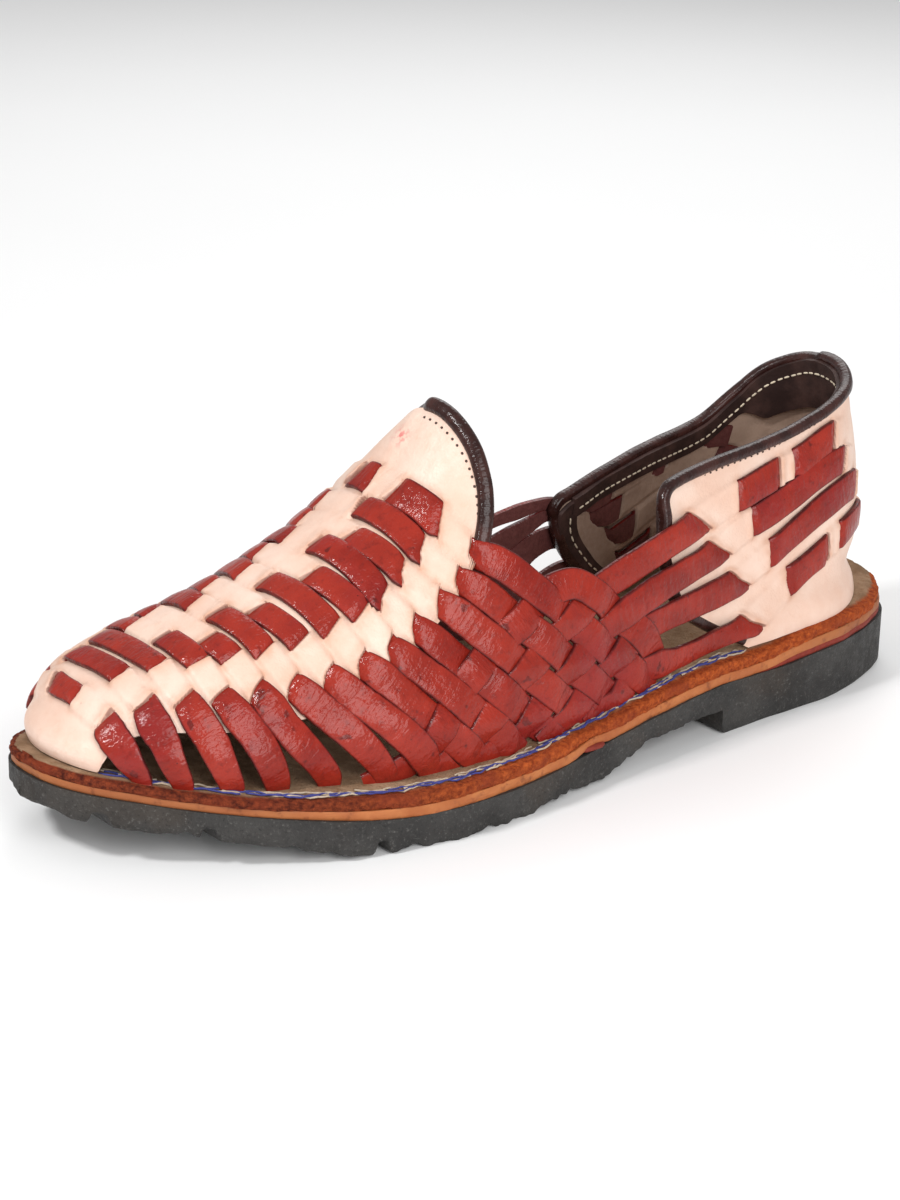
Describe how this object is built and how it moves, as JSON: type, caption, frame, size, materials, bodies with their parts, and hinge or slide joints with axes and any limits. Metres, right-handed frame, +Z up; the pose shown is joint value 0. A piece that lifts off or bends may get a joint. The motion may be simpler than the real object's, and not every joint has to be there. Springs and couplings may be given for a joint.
{
  "type": "woven leather slip-on shoe",
  "caption": "Left slip-on shoe with a natural leather vamp and counter, red-brown straps woven through them and braided along the sides, and a lugged rubber sole with a low heel.",
  "frame": {"origin": "on the floor under the middle of the shoe's box", "axes": "+X to the toe, +Y to the shoe's left, +Z up"},
  "size_m": [0.2908, 0.1035, 0.1068],
  "materials": {
    "strap_leather": "red-brown dyed straps, polished, on natural cream leather",
    "binding_leather": "dark brown, rolled and glossy",
    "insole_leather": "natural leather with a rough orange-brown cut edge",
    "midsole_leather": "tan, smooth trimmed edge",
    "layer_leather": "dark red cut edge",
    "sole_rubber": "dark grey tread rubber, matt"
  },
  "bodies": {
    "root": {"upper": "strap_leather", "vamp_binding": "binding_leather", "counter_binding": "binding_leather", "insole": "insole_leather", "midsole": "midsole_leather", "heel_layer": "layer_leather", "outsole": "sole_rubber", "heel": "sole_rubber"}
  },
  "joints": []
}
